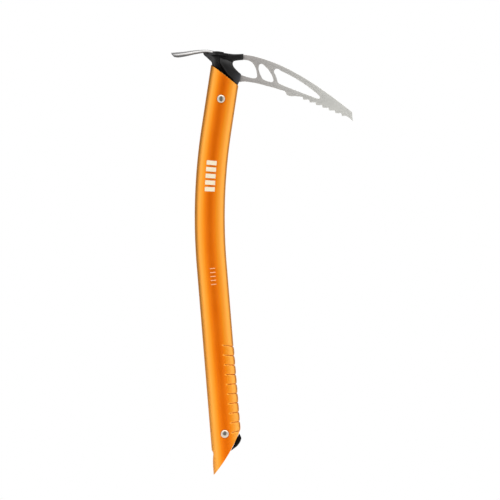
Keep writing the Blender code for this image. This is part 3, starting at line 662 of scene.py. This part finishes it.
class Nodes:
    """Short calls for one material's node tree. Texture coordinates are the piece's own, in millimetres."""

    def __init__(self, name):
        self.material = bpy.data.materials.new(name)
        self.material.use_nodes = True
        self.tree = self.material.node_tree
        self.shader = self.tree.nodes["Principled BSDF"]
        coordinates = self.tree.nodes.new("ShaderNodeTexCoord")
        self.place = self.add("ShaderNodeVectorMath", operation="SCALE")
        self.tree.links.new(coordinates.outputs["Object"], self.place.inputs[0])
        self.place.inputs["Scale"].default_value = 1 / MM

    def add(self, kind, inputs=(), **settings):
        """A node with its settings and inputs. An input is a value or another node's output socket."""
        node = self.tree.nodes.new(kind)
        for key, value in settings.items():
            setattr(node, key, value)
        for key, value in dict(inputs).items():
            self.put(value, node.inputs[key])
        return node

    def put(self, value, socket):
        if isinstance(value, bpy.types.NodeSocket):
            self.tree.links.new(value, socket)
        else:
            socket.default_value = value

    def noise(self, scale, detail=3.0, stretch=(1, 1, 1), roughness=0.5):
        """Noise from 0 to 1 with about this many features a millimetre."""
        mapped = self.add("ShaderNodeMapping", {"Vector": self.place.outputs[0], "Scale": stretch})
        inputs = {"Vector": mapped.outputs[0], "Scale": scale, "Detail": detail, "Roughness": roughness}
        return self.add("ShaderNodeTexNoise", inputs).outputs["Fac"]

    def ramp(self, value, low, high, start=0.0, end=1.0):
        """value from low to high, spread over start to end and clamped."""
        keys = {"Value": value, "From Min": low, "From Max": high, "To Min": start, "To Max": end}
        return self.add("ShaderNodeMapRange", keys, clamp=True).outputs[0]

    def mix(self, share, first, second):
        """A colour between two others, which are the node's inputs 6 and 7."""
        node = self.add("ShaderNodeMix", data_type="RGBA")
        self.put(share, node.inputs[0])
        self.put(first, node.inputs[6])
        self.put(second, node.inputs[7])
        return node.outputs[2]

    def math(self, operation, first, second=0.0):
        node = self.add("ShaderNodeMath", operation=operation)
        self.put(first, node.inputs[0])
        self.put(second, node.inputs[1])
        return node.outputs[0]

    def along(self, axis):
        """The piece's own X, Y or Z, in mm."""
        return self.add("ShaderNodeSeparateXYZ", {0: self.place.outputs[0]}).outputs[axis]

    def facing(self):
        """0 where the surface faces the eye, rising to 1 at a glancing slant."""
        made = self.add("ShaderNodeLayerWeight")
        made.inputs["Blend"].default_value = 0.5
        return made.outputs["Facing"]

    def below(self):
        """0 on surfaces that face up or sideways, rising to 1 where they face down."""
        normal = self.add("ShaderNodeNewGeometry").outputs["Normal"]
        return self.ramp(self.add("ShaderNodeSeparateXYZ", {0: normal}).outputs[2], -0.15, -0.7)

    def edges(self, radius, gain=1.0):
        """1 on rounded corners and 0 on flat faces, from how far a bevelled normal turns from the true one.
        """
        bevel = self.add("ShaderNodeBevel", {"Radius": radius * MM}, samples=6)
        geometry = self.add("ShaderNodeNewGeometry")
        keys = {0: bevel.outputs[0], 1: geometry.outputs["Normal"]}
        turned = self.add("ShaderNodeVectorMath", keys, operation="DOT_PRODUCT")
        return self.ramp(turned.outputs["Value"], 1.0, 1.0 - 0.25 / gain)

    def hollows(self, reach):
        """1 in narrow hollows and 0 in the open, by ambient occlusion."""
        hidden = self.add("ShaderNodeAmbientOcclusion", {"Distance": reach * MM}, samples=8)
        return self.ramp(hidden.outputs["AO"], 0.95, 0.62)

    def bump(self, height, distance, strength=1.0, below=None):
        keys = {"Height": height, "Distance": distance * MM, "Strength": strength}
        if below is not None:
            keys["Normal"] = below
        return self.add("ShaderNodeBump", keys).outputs[0]

    def finish(self, **inputs):
        """Sets the shader's inputs. An underscore in a key stands for a space."""
        for key, value in inputs.items():
            self.put(value, self.shader.inputs[key.replace("_", " ")])
        return self.material


def anodised_orange():
    """Satin anodised aluminium: dyed oxide over metal with a painted highlight paler at a slant, painted
    shade in its hollows and faint lines along the tube.
    """
    n = Nodes("orange_anodised_aluminium")
    lines = n.noise(1.0, 4.0, (3.0, 3.0, 0.02), 0.6)
    cloud = n.noise(0.035, 2.0)
    grain = n.noise(9.0, 2.0)
    slant = n.facing()
    # Painted highlight: the colour turns paler and yellower as the surface turns away from the eye.
    colour = n.mix(n.ramp(slant, 0.0, 0.045), (0.84, 0.160, 0.001, 1), (0.80, 0.255, 0.008, 1))
    colour = n.mix(n.ramp(slant, 0.03, 0.14), colour, (0.84, 0.355, 0.055, 1))
    colour = n.mix(n.math("MULTIPLY", n.ramp(cloud, 0.35, 0.65), 0.12), colour, (0.95, 0.30, 0.02, 1))
    colour = n.mix(n.math("MULTIPLY", n.ramp(lines, 0.45, 0.75), 0.14), colour, (0.70, 0.13, 0.001, 1))
    # Painted shade: the grooves and other hollows are darkened towards brown.
    colour = n.mix(n.math("MULTIPLY", n.hollows(1.6), 0.55), colour, (0.28, 0.06, 0.004, 1))
    worn = n.math("MULTIPLY", n.edges(0.35, 2.0), n.ramp(n.noise(0.6, 4.0), 0.5, 0.7))
    colour = n.mix(n.math("MULTIPLY", worn, 0.3), colour, (0.95, 0.62, 0.35, 1))
    roughness = n.math("ADD", n.ramp(lines, 0.3, 0.7, 0.38, 0.43), n.ramp(grain, 0.3, 0.7, 0.0, 0.03))
    normal = n.bump(grain, 0.004, below=n.bump(lines, 0.006))
    return n.finish(Base_Color=colour, Metallic=0.96, Roughness=roughness, Normal=normal, Coat_Weight=0.05)


def blasted_steel():
    """Bead-blasted tool steel, lighter in colour towards the tip, with faint scuffs and rubbed corners."""
    n = Nodes("blasted_steel")
    pits = n.noise(5.0, 3.0)
    cloud = n.noise(0.06, 3.0)
    scuffs = n.ramp(n.noise(0.5, 5.0, (0.25, 1.0, 2.5), 0.65), 0.58, 0.75)
    tip = n.ramp(n.along(0), *PICK_BRIGHTENING)
    colour = n.mix(n.ramp(cloud, 0.3, 0.7), (0.375, 0.352, 0.338, 1), (0.420, 0.395, 0.380, 1))
    colour = n.mix(tip, colour, (0.650, 0.645, 0.610, 1))
    shine = n.math("ADD", n.math("MULTIPLY", n.edges(0.25, 2.0), 0.15), n.math("MULTIPLY", scuffs, 0.12))
    colour = n.mix(shine, colour, (0.80, 0.80, 0.79, 1))
    roughness = n.math("SUBTRACT", n.ramp(cloud, 0.3, 0.7, 0.50, 0.44), n.math("MULTIPLY", shine, 0.3))
    return n.finish(Base_Color=colour, Metallic=1.0, Roughness=roughness, Normal=n.bump(pits, 0.012))


def polished_steel():
    """Tumbled stainless with fine lines along it, darker towards its cutting edge and round its rim, with
    painted shade underneath.
    """
    n = Nodes("polished_steel")
    lines = n.noise(1.0, 5.0, (0.06, 5.0, 5.0), 0.65)
    cloud = n.noise(0.12, 3.0)
    colour = n.mix(n.ramp(lines, 0.35, 0.7), (0.52, 0.51, 0.50, 1), (0.42, 0.41, 0.40, 1))
    colour = n.mix(n.ramp(n.along(0), *ADZE_DARKENING), colour, (0.33, 0.325, 0.32, 1))
    colour = n.mix(n.ramp(n.edges(0.6, 2.0), 0.1, 0.6), colour, (0.12, 0.117, 0.115, 1))
    # Painted shade: surfaces that face down are darkened.
    colour = n.mix(n.below(), colour, (0.07, 0.068, 0.066, 1))
    roughness = n.math("ADD", n.ramp(lines, 0.3, 0.7, 0.20, 0.30), n.ramp(cloud, 0.4, 0.7, 0.0, 0.08))
    return n.finish(Base_Color=colour, Metallic=1.0, Roughness=roughness, Normal=n.bump(lines, 0.006))


def rivet_steel():
    """Bright pressed steel with faint rings and small dents."""
    n = Nodes("rivet_steel")
    dents = n.noise(1.2, 3.0)
    colour = n.mix(n.ramp(dents, 0.35, 0.7), (0.60, 0.545, 0.475, 1), (0.48, 0.43, 0.37, 1))
    roughness = n.ramp(dents, 0.3, 0.7, 0.12, 0.24)
    return n.finish(Base_Color=colour, Metallic=1.0, Roughness=roughness, Normal=n.bump(dents, 0.02))


def black_nylon():
    """Moulded nylon, finely spark-eroded: buffed on handled edges, dull in hollows, painted sheen on the
    foot, painted highlight on the spine.
    """
    n = Nodes("black_nylon")
    texture = n.noise(3.2, 4.0)
    cloud = n.noise(0.15, 3.0)
    hollows = n.hollows(6.0)
    buffed = n.math("MULTIPLY", n.edges(2.2, 1.1), n.math("SUBTRACT", 1.0, hollows))
    buffed = n.math("MULTIPLY", buffed, n.ramp(n.noise(0.8, 4.0), 0.25, 0.6, 0.7, 1.0))
    foot = n.math("MULTIPLY", n.ramp(n.along(0), *BRIGHT_FOOT_X), n.ramp(n.along(2), *BRIGHT_FOOT_Z))
    thick = n.ramp(n.math("ABSOLUTE", n.along(1)), *BRIGHT_SPINE_Y)
    spine = n.math("MULTIPLY", n.ramp(n.along(0), *BRIGHT_SPINE_X), thick)
    colour = n.mix(n.ramp(cloud, 0.35, 0.65), (0.008, 0.0076, 0.0076, 1), (0.011, 0.0106, 0.0106, 1))
    colour = n.mix(buffed, colour, (0.035, 0.035, 0.034, 1))
    # Painted sheen: the cheek's foot is lightened towards blue-grey.
    colour = n.mix(n.math("MULTIPLY", foot, 0.5), colour, (0.030, 0.033, 0.045, 1))
    # Painted highlight: the spine is lightened.
    colour = n.mix(n.math("MULTIPLY", spine, 0.5), colour, (0.040, 0.040, 0.040, 1))
    roughness = n.ramp(texture, 0.3, 0.7, 0.27, 0.37)
    gloss = n.math("SUBTRACT", 0.18, n.math("MULTIPLY", hollows, 0.15))
    gloss = n.math("ADD", gloss, n.math("MULTIPLY", buffed, 0.1))
    gloss = n.math("ADD", gloss, n.math("MULTIPLY", n.math("MAXIMUM", foot, spine), 0.28))
    normal = n.bump(texture, 0.015)
    return n.finish(Base_Color=colour, Roughness=roughness, Normal=normal, Specular_IOR_Level=gloss)


def black_rubber():
    """Dull elastomer with a slight bloom."""
    n = Nodes("black_rubber")
    texture = n.noise(2.4, 5.0)
    bloom = n.ramp(n.noise(0.3, 4.0), 0.45, 0.7)
    colour = n.mix(bloom, (0.0012, 0.0010, 0.0009, 1), (0.003, 0.0026, 0.0022, 1))
    roughness = n.ramp(texture, 0.3, 0.7, 0.5, 0.65)
    normal = n.bump(texture, 0.04)
    return n.finish(Base_Color=colour, Roughness=roughness, Normal=normal, Specular_IOR_Level=0.04)


def cream_ink(name, cover):
    """Pad-printed ink, a little thin in places. cover is how much of the orange it hides."""
    n = Nodes(name)
    thin = n.ramp(n.noise(2.5, 4.0), 0.55, 0.8)
    bare = n.math("ADD", 1 - cover, n.math("MULTIPLY", thin, 0.2 * cover))
    colour = n.mix(bare, (0.72, 0.64, 0.47, 1), (0.84, 0.25, 0.02, 1))
    return n.finish(Base_Color=colour, Roughness=n.ramp(thin, 0.0, 1.0, 0.5, 0.6), Specular_IOR_Level=0.3)


def plain_steel():
    """Turned steel for the bushes inside."""
    n = Nodes("plain_steel")
    rings = n.noise(1.5, 3.0, (0.2, 4.0, 0.2))
    colour = n.mix(rings, (0.5, 0.49, 0.48, 1), (0.6, 0.59, 0.57, 1))
    return n.finish(Base_Color=colour, Metallic=1.0, Roughness=n.ramp(rings, 0.3, 0.7, 0.3, 0.45))


# ---------------------------------------------------------------- stage


def studio():
    """White surroundings for the camera. All other rays see a ring of softboxes under a bright ceiling."""
    world = bpy.data.worlds.new("studio")
    bpy.context.scene.world = world
    world.use_nodes = True
    tree = world.node_tree
    tree.nodes.clear()

    def node(kind, **settings):
        made = tree.nodes.new(kind)
        for key, value in settings.items():
            setattr(made, key, value)
        return made

    def maths(operation, first, second=0.0):
        made = node("ShaderNodeMath", operation=operation)
        for value, socket in zip((first, second), made.inputs):
            if isinstance(value, bpy.types.NodeSocket):
                tree.links.new(value, socket)
            else:
                socket.default_value = value
        return made.outputs[0]

    way = node("ShaderNodeSeparateXYZ")
    tree.links.new(node("ShaderNodeTexCoord").outputs["Generated"], way.inputs[0])
    x, y, z = way.outputs
    turn = maths("ARCTAN2", x, maths("MULTIPLY", y, -1.0))
    ring = node("ShaderNodeValToRGB")
    tree.links.new(maths("ADD", maths("DIVIDE", turn, 2 * math.pi), 0.5), ring.inputs[0])
    ring.color_ramp.interpolation = "EASE"
    stops = ring.color_ramp.elements
    stops[0].position, stops[1].position = 0.0, 1.0
    for degrees, _ in SOFTBOXES[1:-1]:
        stops.new(degrees / 360 + 0.5)
    for stop, (degrees, level) in zip(stops, SOFTBOXES):
        stop.position = degrees / 360 + 0.5
        stop.color = (level, level, level, 1)
    height = node("ShaderNodeMapRange", interpolation_type="SMOOTHSTEP")
    tree.links.new(z, height.inputs["Value"])
    height.inputs["From Min"].default_value = CEILING_START
    height.inputs["From Max"].default_value = CEILING_FULL
    ceiling = node("ShaderNodeMix", data_type="RGBA")
    tree.links.new(height.outputs[0], ceiling.inputs[0])
    tree.links.new(ring.outputs[0], ceiling.inputs[6])
    ceiling.inputs[7].default_value = (CEILING, CEILING, CEILING, 1)

    switch = node("ShaderNodeMixShader")
    tree.links.new(node("ShaderNodeLightPath").outputs["Is Camera Ray"], switch.inputs[0])
    lit = node("ShaderNodeBackground")
    tree.links.new(ceiling.outputs[2], lit.inputs["Color"])
    lit.inputs["Strength"].default_value = LIGHT_STRENGTH
    seen = node("ShaderNodeBackground")
    tree.links.new(lit.outputs[0], switch.inputs[1])
    tree.links.new(seen.outputs[0], switch.inputs[2])
    seen.inputs["Color"].default_value = (1, 1, 1, 1)
    tree.links.new(switch.outputs[0], node("ShaderNodeOutputWorld").inputs["Surface"])


def floor(material):
    shape = bmesh.new()
    bmesh.ops.create_circle(shape, cap_ends=True, segments=96, radius=FLOOR_RADIUS)
    bmesh.ops.translate(shape, vec=(VIEW_X, 0.0, FLOOR_LEVEL), verts=shape.verts)
    made = add_piece("floor", mesh_from_bmesh("floor", shape), material)


def pale_floor():
    n = Nodes("pale_floor")
    speckle = n.noise(0.2, 4.0)
    return n.finish(Base_Color=n.mix(speckle, (0.70, 0.70, 0.69, 1), (0.74, 0.74, 0.73, 1)), Roughness=0.7)


def camera():
    """A long lens square on to the axe's right-hand side."""
    data = bpy.data.cameras.new("camera")
    data.sensor_width = 36.0
    data.lens = data.sensor_width * VIEW_DISTANCE / VIEW_WIDTH
    data.clip_end = 3 * VIEW_DISTANCE * MM
    holder = bpy.data.objects.new("camera", data)
    holder.location = Vector((VIEW_X, -VIEW_DISTANCE, VIEW_Z)) * MM
    holder.rotation_euler = (math.pi / 2, 0, 0)
    bpy.context.scene.collection.objects.link(holder)
    bpy.context.scene.camera = holder


camera()
studio()
floor(pale_floor())

rivet_metal = rivet_steel()
plug_mesh = soften("foot_plug", "end_plug", voxel=0.45, rounds=6)
for piece, node in (
    (shaft_tube(anodised_orange()), "shaft_tube"),
    (pick_blade(blasted_steel()), "pick_blade"),
    (adze_blade(polished_steel()), "adze_blade"),
    (head_block(black_nylon()), "head_block"),
    (add_piece("foot_plug", plug_mesh, black_rubber()), "end_plug"),
    (rivet("head_rivet", "upper_rivet", rivet_metal), "upper_rivet"),
    (rivet("foot_rivet", "lower_rivet", rivet_metal), "lower_rivet"),
):
    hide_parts(node)
    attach(piece, "root")
for piece in (
    printed_marks("shaft_bars", BARS, cream_ink("cream_ink", 1.0)),
    printed_marks("shaft_dashes", DASHES, cream_ink("thin_cream_ink", 0.36)),
):
    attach(piece, "root")
bush_steel = plain_steel()
for node in ("upper_bush_left", "upper_bush_right", "lower_bush"):
    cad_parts[node].data.materials.clear()
    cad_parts[node].data.materials.append(bush_steel)
bpy.context.scene.view_settings.view_transform = "Standard"
